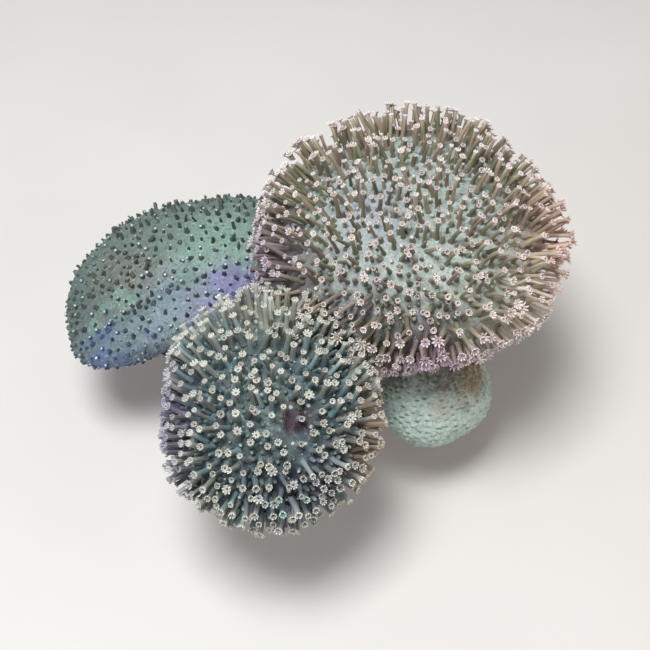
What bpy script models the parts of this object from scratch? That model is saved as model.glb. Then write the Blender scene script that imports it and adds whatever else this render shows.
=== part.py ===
"""Toadstool leather coral: one colony of four stalked caps that fork from a shared trunk.

The trunk is cut off flat where the colony grew on its rock. Each branch is one solid: a round
fleshy stalk that flares into a domed cap, with the polyps standing out of the cap's skin.
Frame: metres, +Z up, the origin at the centre of the flat cut, -Y towards the front.
"""

import math
import random
from typing import NamedTuple

import bmesh
import bpy
from mathutils import Quaternion, Vector

MM = 0.001
UP = Vector((0, 0, 1))

# Driving dimensions of the trunk
FOOT_RADIUS = 30 * MM
WAIST_RADIUS = 24 * MM
TRUNK_HEIGHT = 31 * MM
FORK_GAP = 0.3 * MM

# How the edge of every cap rolls under: its inner reach as a share of the rim, and the steps of each stretch
LIP_INNER = 0.86
LIP_STEPS = 2
FUNNEL_STEPS = 3
STALK_STEPS = 3
FUNNEL_FLARE = 1.7
DIMPLE_REACH = 0.3

# The polyps: how evenly they are spread, how they stand, and the shape of an open one
GRID_JITTER = 0.36
POLYP_SPLAY = 0.35
POLYP_LIFT = 0.25
POLYP_BEND = 0.22
OPEN_SHARE = 0.9
TUBE_LENGTHS = (0.8, 1.1)
TUBE_NECK = 0.82
NECK_WIDTH = 0.8
HEAD_WIDTH = 1.5
CAP_CLEARANCE = 4
POLYP_CLEARANCE = 5
POLYP_POINTS = (0.1, 0.3, 0.5, 0.7, 0.9, 1.1)

TRUNK_SIDES = 24
STUB_SPREAD = 1.25
TRUNK_COLOUR = (0.55, 0.50, 0.42, 1)
SHARP_DEGREES = 40


class Polyps(NamedTuple):
    """What stands on a cap: open tubes with a wide head, closed nubs, or low scales.

    Lower tells where they stand lower than elsewhere: a place, its reach, and the share of their length there.
    """

    kind: str
    length: float
    width: float
    rim_every: int = 2
    lower: tuple = ()


class Branch(NamedTuple):
    """One stalk with its cap. Places and lengths are in millimetres, angles in degrees."""

    name: str
    cap_centre: tuple
    lean: float
    lean_towards: float
    turn: float
    half_width: float
    half_depth: float
    dome: float
    lip: float
    funnel: float
    neck: float
    neck_at: tuple
    fork: tuple
    fork_lean: float
    fork_lean_towards: float
    fork_radius: float
    stub: float
    lobes: tuple
    bulges: tuple
    droops: tuple
    dimple: float
    creases: tuple
    cells: int
    polyps: Polyps
    colour: tuple
    seed: int


LARGE_LOWER = (
    ((-3, 56, 92), 8, 0.35),
    ((38, -52, 86), 30, 0.8),
    ((34, 60, 96), 24, 0.88),
    ((76, 36, 98), 28, 0.74),
    ((62, -42, 86), 14, 0.75),
)
FRONT_LOWER = (
    ((-60, -66, 70), 17, 0.7),
    ((-48, -96, 62), 16, 0.74),
    ((0, -98, 64), 16, 0.74),
)

LARGE = Branch(
    name="large_branch",
    cap_centre=(32, 5, 92),
    lean=3,
    lean_towards=-90,
    turn=0,
    half_width=51,
    half_depth=51,
    dome=23,
    lip=9,
    funnel=22,
    neck=17,
    neck_at=(-5, 0),
    fork=(10, 5, 41),
    fork_lean=18,
    fork_lean_towards=20,
    fork_radius=15.5,
    stub=26,
    lobes=((1, 0.025, 215), (3, 0.02, 75), (5, 0.015, 10)),
    bulges=((121, -0.07, 9), (146, 0.02, 12), (204, 0.03, 14)),
    droops=((1, 5, 42), (2, 3, 135), (5, 1.2, 60)),
    dimple=2.5,
    creases=(),
    cells=12,
    polyps=Polyps("open", 13, 2.4, lower=LARGE_LOWER),
    colour=(0.42, 0.44, 0.36, 1),
    seed=11,
)
FRONT = Branch(
    name="front_branch",
    cap_centre=(-24, -64.5, 74),
    lean=17,
    lean_towards=-90,
    turn=0,
    half_width=34.5,
    half_depth=39,
    dome=19,
    lip=8,
    funnel=17,
    neck=13,
    neck_at=(3, 8),
    fork=(-7, -17, 33),
    fork_lean=38,
    fork_lean_towards=-118,
    fork_radius=12,
    stub=22,
    lobes=((3, 0.02, 90), (5, 0.015, 0)),
    bulges=((310, 0.03, 20),),
    droops=((3, 1.5, 0),),
    dimple=1.5,
    creases=(),
    cells=9,
    polyps=Polyps("open", 9, 2.3, lower=FRONT_LOWER),
    colour=(0.36, 0.42, 0.33, 1),
    seed=23,
)
LEFT = Branch(
    name="left_branch",
    cap_centre=(-64.5, 10.5, 62),
    lean=11,
    lean_towards=215,
    turn=26,
    half_width=50,
    half_depth=33,
    dome=13,
    lip=7,
    funnel=15,
    neck=12,
    neck_at=(15, -8),
    fork=(-19, 7, 31),
    fork_lean=56,
    fork_lean_towards=168,
    fork_radius=11,
    stub=18,
    lobes=((3, 0.02, 0),),
    bulges=((207, 0.10, 22), (25, 0.06, 20), (88, 0.08, 28)),
    droops=((2, 2, 90), (3, 1.5, 20)),
    dimple=0,
    creases=(((-46, -12), (2, -7), 3.5, 5),),
    cells=9,
    polyps=Polyps("nub", 3.0, 2.6),
    colour=(0.40, 0.48, 0.42, 1),
    seed=37,
)
SMALL = Branch(
    name="small_branch",
    cap_centre=(40.5, -34, 44),
    lean=24,
    lean_towards=-60,
    turn=0,
    half_width=23.5,
    half_depth=23.5,
    dome=15,
    lip=6,
    funnel=9,
    neck=9.5,
    neck_at=(-3, 3),
    fork=(20, -17, 22),
    fork_lean=48,
    fork_lean_towards=-35,
    fork_radius=8.5,
    stub=13,
    lobes=((3, 0.02, 0),),
    bulges=((305, -0.05, 26),),
    droops=((2, 1, 0),),
    dimple=0,
    creases=(),
    cells=7,
    polyps=Polyps("scale", 0.9, 0),
    colour=(0.50, 0.55, 0.47, 1),
    seed=41,
)
BRANCHES = (LARGE, FRONT, LEFT, SMALL)


def direction(lean, towards):
    """The unit vector that leans this many degrees off the vertical, towards this compass angle."""
    tilt, heading = math.radians(lean), math.radians(towards)
    return Vector((math.sin(tilt) * math.cos(heading), math.sin(tilt) * math.sin(heading), math.cos(tilt)))


def waves(terms, angle):
    """A sum of cosines round the rim: how many, how much, and where the first one peaks."""
    return sum(size * math.cos(count * (angle - math.radians(peak))) for count, size, peak in terms)


def bulging(terms, angle):
    """A sum of single bulges of the rim, or notches where negative: where, how much, and half how wide."""
    total = 0
    for peak, size, half_width in terms:
        away = math.remainder(math.degrees(angle) - peak, 360)
        total += size * math.exp(-(away / half_width) ** 2)
    return total


def rim_point(branch, angle, inner=1.0):
    """A point of the cap's outline, seen down its own axis, in millimetres."""
    spread = inner * (1 + waves(branch.lobes, angle) + bulging(branch.bulges, angle))
    return branch.half_width * spread * math.cos(angle), branch.half_depth * spread * math.sin(angle)


def sunk(branch, x, y):
    """How far the cap's upper skin sinks at a place in its own frame: the dimple at its middle, and its creases."""
    depth = branch.dimple * math.exp(-(x * x + y * y) / (DIMPLE_REACH * branch.half_width) ** 2)
    for start, end, deepest, half_width in branch.creases:
        start, end, place = Vector(start), Vector(end), Vector((x, y))
        along = min(1, max(0, (place - start).dot(end - start) / (end - start).length_squared))
        depth += deepest * math.exp(-((place - start.lerp(end, along)).length / half_width) ** 2)
    return depth


def on_dome(branch, x, y):
    """The cap's upper skin over the place (x, y) of the unit disc, in the cap's own frame."""
    share, angle = min(1.0, math.hypot(x, y)), math.atan2(y, x)
    reach = math.sin(share * math.pi / 2)
    across, along = (side * reach for side in rim_point(branch, angle))
    height = branch.dome * math.cos(share * math.pi / 2) + waves(branch.droops, angle) * reach**3
    return Vector((across, along, height - sunk(branch, across, along) * (1 - reach**6)))


def lower_rings(branch):
    """What each ring under the rim is: the lip that rolls under, the funnel below it, then the stalk."""
    rings = [("lip", (step + 1) / LIP_STEPS) for step in range(LIP_STEPS)]
    rings += [("funnel", (step + 1) / FUNNEL_STEPS) for step in range(FUNNEL_STEPS)]
    rings += [("stalk", (step + 1) / STALK_STEPS) for step in range(STALK_STEPS)]
    return rings


def on_ring(branch, stretch, share, angle):
    """A point of a ring under the rim, in the cap's own frame. On the stalk, z only says how far down it is."""
    middle = Vector((*branch.neck_at, 0))
    neck = Vector((branch.neck * math.cos(angle), branch.neck * math.sin(angle), 0))
    if stretch == "lip":
        turn = share * math.pi / 2
        across, along = rim_point(branch, angle, LIP_INNER + (1 - LIP_INNER) * math.cos(turn))
        return Vector((across, along, waves(branch.droops, angle) - branch.lip * math.sin(turn)))
    if stretch == "funnel":
        keep = (1 - share) ** FUNNEL_FLARE
        lip = Vector((*rim_point(branch, angle, LIP_INNER), 0))
        point = (middle + neck).lerp(lip, keep)
        point.z = waves(branch.droops, angle) * keep - branch.lip - branch.funnel * share
        return point
    taper = 1 + share * (branch.fork_radius / branch.neck - 1)
    return middle + neck * taper - UP * (branch.lip + branch.funnel + share)


def cap_frame(branch):
    """The rotation from the cap's own frame to the colony's."""
    lean = UP.rotation_difference(direction(branch.lean, branch.lean_towards))
    return lean @ Quaternion(UP, math.radians(branch.turn))


def spine(branch, share):
    """The stalk's centre line, from the neck (0) to the fork (1): the point there, and the way up along it."""
    frame = cap_frame(branch)
    up_cap, up_fork = frame @ UP, direction(branch.fork_lean, branch.fork_lean_towards)
    neck = Vector(branch.cap_centre) + frame @ Vector((*branch.neck_at, -branch.lip - branch.funnel))
    fork = Vector(branch.fork) + up_fork * (FORK_GAP / MM)
    pull = (neck - fork).length / 3
    a, b, c, d = neck, neck - up_cap * pull, fork + up_fork * pull, fork
    rest = 1 - share
    point = a * rest**3 + b * 3 * rest**2 * share + c * 3 * rest * share**2 + d * share**3
    slope = (b - a) * rest**2 + (c - b) * 2 * rest * share + (d - c) * share**2
    return point, -slope.normalized()


def in_colony(branch, point):
    """A point of the cap's own frame, in millimetres, placed in the colony, in metres."""
    frame = cap_frame(branch)
    below = -(branch.lip + branch.funnel) - point.z
    if below <= 0:
        return (Vector(branch.cap_centre) + frame @ point) * MM
    centre, upward = spine(branch, min(1.0, below))
    across = frame @ (point - Vector((*branch.neck_at, point.z)))
    return (centre + (frame @ UP).rotation_difference(upward) @ across) * MM


def in_cap(branch, place, clearance):
    """True where this point lies within the clearance of the branch's cap."""
    seen = cap_frame(branch).inverted() @ (place / MM - Vector(branch.cap_centre))
    angle = math.atan2(seen.y, seen.x)
    seen.z -= waves(branch.droops, angle) * min(1, seen.xy.length / branch.half_width) ** 3
    flat = (seen.x / (branch.half_width + clearance)) ** 2 + (seen.y / (branch.half_depth + clearance)) ** 2
    depth = branch.dome if seen.z > 0 else branch.lip + branch.funnel
    return flat + (seen.z / (depth + clearance)) ** 2 < 1


def has_room(branch, foot, way, standing):
    """True if a polyp here meets no neighbouring cap and no polyp that stands on one."""
    points = [foot + way * share for share in POLYP_POINTS]
    others = [other for other in BRANCHES if other is not branch]
    if any(in_cap(other, point, CAP_CLEARANCE) for other in others for point in points):
        return False
    return all((point - taken).length > POLYP_CLEARANCE * MM for point in points for taken in standing)


def bearing(face):
    """The compass angle of a face of the flat disc from which a cap is drawn."""
    middle = face.calc_center_median()
    return math.atan2(middle.y, middle.x)


def skin(branch):
    """The cap and stalk as a closed mesh, and the faces that carry polyps: the dome's, and the lip's below them."""
    bm = bmesh.new()
    rng = random.Random(branch.seed)
    cells = branch.cells
    bmesh.ops.create_grid(bm, x_segments=cells, y_segments=cells, size=1)
    for vert in bm.verts:
        x, y = vert.co.x, vert.co.y
        if not vert.is_boundary:
            x += rng.uniform(-GRID_JITTER, GRID_JITTER) / cells
            y += rng.uniform(-GRID_JITTER, GRID_JITTER) / cells
        vert.co = Vector((x * math.sqrt(1 - y * y / 2), y * math.sqrt(1 - x * x / 2), 0))
    placed = {vert: on_dome(branch, vert.co.x, vert.co.y) for vert in bm.verts}
    dome, lip = list(bm.faces), []
    for stretch, share in lower_rings(branch):
        rim = [edge for edge in bm.edges if edge.is_boundary]
        made = bmesh.ops.extrude_edge_only(bm, edges=rim)["geom"]
        for vert in made:
            if isinstance(vert, bmesh.types.BMVert):
                placed[vert] = on_ring(branch, stretch, share, math.atan2(vert.co.y, vert.co.x))
        lip = lip or sorted((face for face in bm.faces if face not in dome), key=bearing)
    bmesh.ops.edgeloop_fill(bm, edges=[edge for edge in bm.edges if edge.is_boundary])
    for vert, point in placed.items():
        vert.co = in_colony(branch, point)
    bmesh.ops.recalc_face_normals(bm, faces=bm.faces)
    return bm, dome, lip


def drawn_out(bm, faces):
    """A new face on each of these faces, in the same order, joined to it by sides that have no height yet."""
    return [bmesh.ops.extrude_discrete_faces(bm, faces=[face])["faces"][0] for face in faces]


def narrowed(bm, faces, width):
    """A face of this width set into the middle of each of these faces, from which a polyp grows."""
    grown = drawn_out(bm, faces)
    for face in grown:
        middle = face.calc_center_median()
        for vert in face.verts:
            vert.co = middle + (vert.co - middle).normalized() * width / math.sqrt(2)
    return grown


def lengthened(bm, faces, ways, widen):
    """These faces drawn out along their ways, and made wider or narrower by widen."""
    grown = drawn_out(bm, faces)
    for face, way in zip(grown, ways):
        middle = face.calc_center_median()
        for vert in face.verts:
            vert.co = middle + (vert.co - middle) * widen + way
    return grown


def polyp_way(branch, face, rng):
    """Which way the polyp on this face stands: off the skin, splayed a little outward and bent at random."""
    axis = cap_frame(branch) @ UP
    outward = face.calc_center_median() - Vector(branch.cap_centre) * MM
    outward -= axis * outward.dot(axis)
    bend = Vector([rng.uniform(-POLYP_BEND, POLYP_BEND) for _ in range(3)])
    splay = POLYP_SPLAY * outward / (branch.half_width * MM)
    return (face.normal + splay + axis * POLYP_LIFT + bend).normalized()


def kept_length(branch, foot):
    """The share of their length that the polyps keep at this place."""
    kept = 1.0
    for centre, reach, share in branch.polyps.lower:
        away = (foot / MM - Vector(centre)).length / reach
        kept *= 1 + (share - 1) * math.exp(-(away**2))
    return kept


def with_room(branch, faces, standing):
    """The faces on which a polyp finds room, and the way that each one stands."""
    rng = random.Random(branch.seed + 1)
    free, ways, taken = [], [], []
    for face in faces:
        if rng.random() > OPEN_SHARE:
            continue
        foot = face.calc_center_median()
        way = polyp_way(branch, face, rng) * branch.polyps.length * MM * rng.uniform(*TUBE_LENGTHS)
        way *= kept_length(branch, foot)
        if has_room(branch, foot, way, standing):
            free.append(face)
            ways.append(way)
            taken += [foot + way * share for share in POLYP_POINTS]
    standing += taken
    return free, ways


def add_tubes(bm, branch, faces, standing):
    """Open polyps: a tube that narrows to its neck and ends in a wide flat head."""
    free, ways = with_room(branch, faces, standing)
    feet = narrowed(bm, free, branch.polyps.width * MM)
    necks = lengthened(bm, feet, [way * TUBE_NECK for way in ways], NECK_WIDTH)
    lengthened(bm, necks, [way * (1 - TUBE_NECK) for way in ways], HEAD_WIDTH / NECK_WIDTH)


def add_nubs(bm, branch, faces, standing):
    """Closed polyps: a short peg on each face, drawn to a point."""
    free, _ = with_room(branch, faces, standing)
    bmesh.ops.poke(bm, faces=narrowed(bm, free, branch.polyps.width * MM), offset=branch.polyps.length * MM)


def add_scales(bm, branch, faces):
    """Withdrawn polyps: the skin rises to a low point over each of them."""
    bmesh.ops.poke(bm, faces=faces, offset=branch.polyps.length * MM)


def finish(bm, name, colour, collection):
    """The mesh as a named, smooth-shaded object with its own material."""
    mesh = bpy.data.meshes.new(name)
    bm.to_mesh(mesh)
    bm.free()
    mesh.shade_smooth()
    mesh.set_sharp_from_angle(angle=math.radians(SHARP_DEGREES))
    part = bpy.data.objects.new(name, mesh)
    part.data.materials.append(flesh(name, colour))
    collection.objects.link(part)
    return part


def flesh(name, colour):
    """Soft leathery coral tissue."""
    material = bpy.data.materials.new(f"{name}_flesh")
    material.use_nodes = True
    shader = material.node_tree.nodes["Principled BSDF"]
    shader.inputs["Base Color"].default_value = colour
    shader.inputs["Roughness"].default_value = 0.55
    shader.inputs["Metallic"].default_value = 0
    return material


def make_branch(branch, collection, standing):
    """The stalk and cap as one solid. Standing holds points of the polyps so far, and gets this branch's."""
    bm, dome, lip = skin(branch)
    if branch.polyps.kind == "open":
        add_tubes(bm, branch, dome + lip[:: branch.polyps.rim_every], standing)
    elif branch.polyps.kind == "nub":
        add_nubs(bm, branch, dome, standing)
    else:
        add_scales(bm, branch, dome)
    return finish(bm, branch.name, branch.colour, collection)


def make_stub(branch, collection):
    """The trunk's limb towards one branch, which ends flat against that branch's stalk."""
    bm = bmesh.new()
    upward = direction(branch.fork_lean, branch.fork_lean_towards)
    length, end = branch.stub * MM, branch.fork_radius * MM
    bmesh.ops.create_cone(bm, cap_ends=True, segments=2 * branch.cells, radius1=end * STUB_SPREAD,
                          radius2=end, depth=length)
    stub = finish(bm, f"{branch.name}_stub", TRUNK_COLOUR, collection)
    stub.location = Vector(branch.fork) * MM - upward * length / 2
    stub.rotation_mode = "QUATERNION"
    stub.rotation_quaternion = UP.rotation_difference(upward)
    stub.hide_render = True
    stub.display_type = "WIRE"
    return stub


def make_trunk(parts, helpers):
    """The foot, turned about the upright, joined with a limb for each branch."""
    outline = [(0, TRUNK_HEIGHT), (WAIST_RADIUS * 0.7, TRUNK_HEIGHT), (WAIST_RADIUS * 0.94, TRUNK_HEIGHT * 0.8),
               (WAIST_RADIUS, TRUNK_HEIGHT * 0.5), (WAIST_RADIUS * 1.1, TRUNK_HEIGHT * 0.2),
               (FOOT_RADIUS, 0), (0, 0)]
    mesh = bpy.data.meshes.new("trunk")
    mesh.from_pydata([(radius, 0, height) for radius, height in outline],
                     [(i, i + 1) for i in range(len(outline) - 1)], [])
    trunk = bpy.data.objects.new("trunk", mesh)
    trunk.data.materials.append(flesh("trunk", TRUNK_COLOUR))
    parts.objects.link(trunk)
    turned = trunk.modifiers.new("turned", "SCREW")
    turned.steps = turned.render_steps = TRUNK_SIDES
    turned.use_merge_vertices = True
    turned.merge_threshold = 0.0001
    for branch in BRANCHES:
        joined = trunk.modifiers.new(f"{branch.name}_limb", "BOOLEAN")
        joined.operation = "UNION"
        joined.object = make_stub(branch, helpers)


def main():
    for old in list(bpy.data.objects):
        bpy.data.objects.remove(old, do_unlink=True)
    parts = bpy.data.collections.new("toadstool_leather_coral")
    helpers = bpy.data.collections.new("limbs_joined_to_the_trunk")
    for collection in (parts, helpers):
        bpy.context.scene.collection.children.link(collection)
    make_trunk(parts, helpers)
    standing = []
    for branch in BRANCHES:
        make_branch(branch, parts, standing)


main()
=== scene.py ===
"""The looks of a toadstool leather coral: its flesh, its polyps and their crowns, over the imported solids.

Sizes below are in millimetres, as they would be on a specimen's label. Every mesh is made in metres in the
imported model's own frame: +Z up, the origin at the centre of the flat cut, -Y to the front.
"""

import math
import random
from typing import NamedTuple

import bpy
import numpy as np
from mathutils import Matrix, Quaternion, Vector, kdtree, noise


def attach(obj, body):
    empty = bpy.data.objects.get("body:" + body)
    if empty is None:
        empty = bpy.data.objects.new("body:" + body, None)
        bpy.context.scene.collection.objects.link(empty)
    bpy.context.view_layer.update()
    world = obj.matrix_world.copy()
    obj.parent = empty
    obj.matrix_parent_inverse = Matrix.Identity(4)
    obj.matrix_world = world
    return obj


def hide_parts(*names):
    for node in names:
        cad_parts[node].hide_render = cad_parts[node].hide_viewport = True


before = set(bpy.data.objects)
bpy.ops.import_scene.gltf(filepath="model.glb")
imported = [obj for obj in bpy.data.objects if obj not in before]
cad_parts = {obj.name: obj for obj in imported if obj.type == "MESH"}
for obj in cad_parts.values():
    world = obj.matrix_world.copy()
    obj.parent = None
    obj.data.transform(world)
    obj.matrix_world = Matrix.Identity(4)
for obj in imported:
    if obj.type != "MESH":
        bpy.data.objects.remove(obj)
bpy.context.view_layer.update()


# The trunk and its limbs
# One stump of solid leathery flesh, cut off flat where it grew on rock, with a short limb towards each stalk.
# It carries no polyps: smooth and cream to tan, drawn into fine lengthwise wrinkles as the colony shrinks and
# swells.

MM = 0.001
UP = Vector((0, 0, 1))
TRUNK_SIDES = 72
TRUNK_PROFILE = (
    (-2.0, 29.0), (0, 29.0), (3, 27.6), (7, 26.2), (12, 25.0), (18, 24.0), (24, 22.6), (28, 19.5),
    (30.5, 13.0),
)
TRUNK_FLUTES = ((5, 0.018, 0.7), (9, 0.012, 2))
STUB_SPREAD = 1.25
CUT_HEIGHT = 0.5


class Limb(NamedTuple):
    """A limb of the trunk: the middle of its end, its lean and heading in degrees, its radius and length."""

    end: tuple
    lean: float
    towards: float
    radius: float
    length: float


LARGE_LIMB = Limb((10, 5, 41), 18, 20, 15.5, 26)
FRONT_LIMB = Limb((-7, -17, 33), 38, -118, 12, 22)
LEFT_LIMB = Limb((-19, 7, 31), 56, 168, 11, 18)
SMALL_LIMB = Limb((20, -17, 22), 48, -35, 8.5, 13)


def direction(lean, towards):
    """The unit vector that leans this many degrees off the vertical, towards this compass angle."""
    tilt, heading = math.radians(lean), math.radians(towards)
    return Vector((math.sin(tilt) * math.cos(heading), math.sin(tilt) * math.sin(heading), math.cos(tilt)))


def make_piece(name, points, faces):
    """A smooth-shaded mesh object from points in metres and lists of point numbers."""
    mesh = bpy.data.meshes.new(name)
    mesh.from_pydata(np.asarray(points).tolist(), [], faces)
    mesh.shade_smooth()
    piece = bpy.data.objects.new(name, mesh)
    bpy.context.scene.collection.objects.link(piece)
    return piece


def ring_faces(rings, sides, first=0):
    """Quads between neighbouring rings of points, and a lid on the last ring and the first."""
    faces = []
    for ring in range(rings - 1):
        low, high = first + ring * sides, first + (ring + 1) * sides
        faces += [(low + k, low + (k + 1) % sides, high + (k + 1) % sides, high + k) for k in range(sides)]
    faces.append(tuple(range(first + sides - 1, first - 1, -1)))
    faces.append(tuple(range(first + (rings - 1) * sides, first + rings * sides)))
    return faces


def points_of(piece):
    """The mesh's points and its normals there, as two arrays."""
    count = len(piece.data.vertices)
    points, normals = np.empty(count * 3), np.empty(count * 3)
    piece.data.vertices.foreach_get("co", points)
    piece.data.vertices.foreach_get("normal", normals)
    return points.reshape(-1, 3), normals.reshape(-1, 3)


def move_points(piece, points):
    """Puts the mesh's points here."""
    piece.data.vertices.foreach_set("co", np.asarray(points, float).ravel())
    piece.data.update()


def crinkle(points, scale, stretch=1.0):
    """Smooth noise from -1 to 1 at these points, in ripples this many millimetres across."""
    fine = np.asarray(points) / (scale * MM) / np.array((1, 1, stretch))
    return np.array([noise.noise(Vector(place)) for place in fine])


def lay_lengthwise(piece, places):
    """Stores each point's place for its wrinkles, in metres, squeezed along the way that they run."""
    layer = piece.data.attributes.new("lengthwise", "FLOAT_VECTOR", "POINT")
    layer.data.foreach_set("vector", np.asarray(places, np.float32).ravel())


def grow_trunk():
    """The stump and its limbs, melted into one skin by a voxel remesh, wrinkled, and cut flat."""
    turns = np.linspace(0, 2 * math.pi, TRUNK_SIDES, endpoint=False)
    ripple = sum((size * np.cos(count * turns + phase) for count, size, phase in TRUNK_FLUTES), 1.0)
    points = [(r * f * math.cos(a), r * f * math.sin(a), h) for h, r in TRUNK_PROFILE
              for a, f in zip(turns, ripple)]
    faces = ring_faces(len(TRUNK_PROFILE), TRUNK_SIDES)
    for limb in (LARGE_LIMB, FRONT_LIMB, LEFT_LIMB, SMALL_LIMB):
        upward = direction(limb.lean, limb.towards)
        turned = UP.rotation_difference(upward)
        first = len(points)
        stations = ((-limb.length, STUB_SPREAD), (-limb.length / 2, 1.12), (0, 1.0), (3, 0.9))
        for along, spread in stations:
            middle = Vector(limb.end) + upward * along
            radius = limb.radius * spread
            points += [middle + turned @ Vector((math.cos(a), math.sin(a), 0)) * radius for a in turns]
        faces += ring_faces(len(stations), TRUNK_SIDES, first)
    trunk = make_piece("trunk_skin", np.array([tuple(p) for p in points]) * MM, faces)
    melted = trunk.modifiers.new("melted", "REMESH")
    melted.mode = "VOXEL"
    melted.voxel_size = 1.0 * MM
    softened = trunk.modifiers.new("softened", "SMOOTH")
    softened.iterations = 8
    softened.factor = 0.5
    evaluated = trunk.evaluated_get(bpy.context.evaluated_depsgraph_get())
    trunk.data = bpy.data.meshes.new_from_object(evaluated)
    trunk.modifiers.clear()
    trunk.data.shade_smooth()
    points, normals = points_of(trunk)
    wrinkles = 0.35 * crinkle(points, 2.6, 5) + 0.5 * crinkle(points, 9, 1.6)
    points = points + normals * (wrinkles * MM)[:, None]
    points[:, 2] = np.where(points[:, 2] < CUT_HEIGHT * MM, 0, points[:, 2])
    move_points(trunk, points)
    lay_lengthwise(trunk, points * (1, 1, 0.18))
    return trunk


def linear(colour):
    """An sRGB colour such as #8a7b6a as linear red, green and blue with alpha."""
    parts = [int(colour[i : i + 2], 16) / 255 for i in (1, 3, 5)]
    return (*(c / 12.92 if c <= 0.04045 else ((c + 0.055) / 1.055) ** 2.4 for c in parts), 1)


def add_node(tree, kind, settings=None, **inputs):
    """Adds a node with its settings, and sets or links its inputs: by number as in0, or by name."""
    made = tree.nodes.new(kind)
    for name, value in (settings or {}).items():
        setattr(made, name, value)
    for name, value in inputs.items():
        socket = made.inputs[int(name[2:])] if name[:2] == "in" and name[2:].isdigit() else made.inputs[name]
        if isinstance(value, bpy.types.NodeSocket):
            tree.links.new(value, socket)
        else:
            socket.default_value = value
    return made


def start_material(name):
    """A material with a Principled surface, ready for its nodes."""
    material = bpy.data.materials.new(name)
    material.use_nodes = True
    return material, material.node_tree, material.node_tree.nodes["Principled BSDF"]


def blended(tree, much, first, second):
    """One colour going over to another, as the value goes from 0 to 1. Each is a socket or an sRGB colour."""
    pair = [linear(colour) if isinstance(colour, str) else colour for colour in (first, second)]
    made = add_node(tree, "ShaderNodeMix", {"data_type": "RGBA"}, in0=much, in6=pair[0], in7=pair[1])
    return made.outputs[2]


def ramped(tree, value, start, end, low=0.0, high=1.0):
    """The value from start to end, turned into low to high."""
    return add_node(tree, "ShaderNodeMapRange", in0=value, in1=start, in2=end, in3=low, in4=high).outputs[0]


def toned(tree, colour, amount):
    """The colour times this amount."""
    made = add_node(tree, "ShaderNodeMix", {"data_type": "RGBA", "blend_type": "MULTIPLY"}, in0=1.0,
                    in6=colour, in7=amount)
    return made.outputs[2]


def wrinkled_stalk_colour(tree, place):
    """Cream flesh with tan in the wrinkles, drawn out lengthwise: what the stalks and the trunk share."""
    stretched = add_node(tree, "ShaderNodeAttribute", {"attribute_name": "lengthwise"}).outputs["Vector"]
    lines = add_node(tree, "ShaderNodeTexNoise", Vector=stretched, Scale=1 / (2.381 * MM), Detail=4,
                     Roughness=0.6)
    broad = add_node(tree, "ShaderNodeTexNoise", Vector=place, Scale=1 / (18.18 * MM), Detail=3)
    flesh = blended(tree, broad.outputs["Fac"], "#bfae95", "#9a8a76")
    grooves = ramped(tree, lines.outputs["Fac"], 0.34, 0.56, 0.5, 0)
    return blended(tree, grooves, flesh, "#7d6a59"), lines.outputs["Fac"]


def soft_flesh_surface(shader, weight=0.22, depth=1.6):
    """Light goes a millimetre or so into wet soft tissue before it comes out, redder than it went in."""
    shader.inputs["Subsurface Weight"].default_value = weight
    shader.inputs["Subsurface Radius"].default_value = (1.0, 0.6, 0.4)
    shader.inputs["Subsurface Scale"].default_value = depth * MM
    shader.inputs["IOR"].default_value = 1.38
    shader.inputs["Metallic"].default_value = 0


def stalk_flesh():
    """Smooth leathery coral tissue, packed with fine limestone grains: dull, pale and finely wrinkled."""
    material, tree, shader = start_material("leathery_stalk_flesh")
    place = add_node(tree, "ShaderNodeTexCoord").outputs["Object"]
    colour, lines = wrinkled_stalk_colour(tree, place)
    grain = add_node(tree, "ShaderNodeTexNoise", Vector=place, Scale=1 / (0.7143 * MM), Detail=2)
    height = add_node(tree, "ShaderNodeMix", in0=0.3, in2=lines, in3=grain.outputs["Fac"])
    bump = add_node(tree, "ShaderNodeBump", Strength=0.5, Distance=0.35 * MM, Height=height.outputs[0])
    tree.links.new(colour, shader.inputs["Base Color"])
    tree.links.new(bump.outputs[0], shader.inputs["Normal"])
    tree.links.new(ramped(tree, lines, 0, 1, 0.62, 0.46), shader.inputs["Roughness"])
    soft_flesh_surface(shader)
    return material


def dress(piece, material):
    """Gives the piece its flesh, and lets it ride the colony's one body."""
    piece.data.materials.append(material)
    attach(piece, "root")


trunk = grow_trunk()
dress(trunk, stalk_flesh())
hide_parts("trunk")


# The stalks and caps
# Each branch is one solid body of flesh: a round stalk that flares into a wide domed cap with a rolled rim.
# The cap's top and lip are the living skin that bears the polyps. Below the lip the skin is bare and pale,
# like the trunk's.

LIP_INNER = 0.86
FUNNEL_FLARE = 1.7
DIMPLE_REACH = 0.3
SEAM_DEPTH = 2.0
SEAM_NARROWED = 0.6
UNDER_RIM = 1
UNDER_LIP = 2
AT_NECK = 3
AT_FORK = 4


class Branch(NamedTuple):
    """One stalk with its cap: the same driving sizes as its solid, in millimetres and degrees."""

    name: str
    cap_centre: tuple
    lean: float
    lean_towards: float
    turn: float
    half_width: float
    half_depth: float
    dome: float
    lip: float
    funnel: float
    neck: float
    neck_at: tuple
    limb: Limb
    lobes: tuple
    bulges: tuple
    droops: tuple
    dimple: float
    creases: tuple
    seed: int


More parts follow.
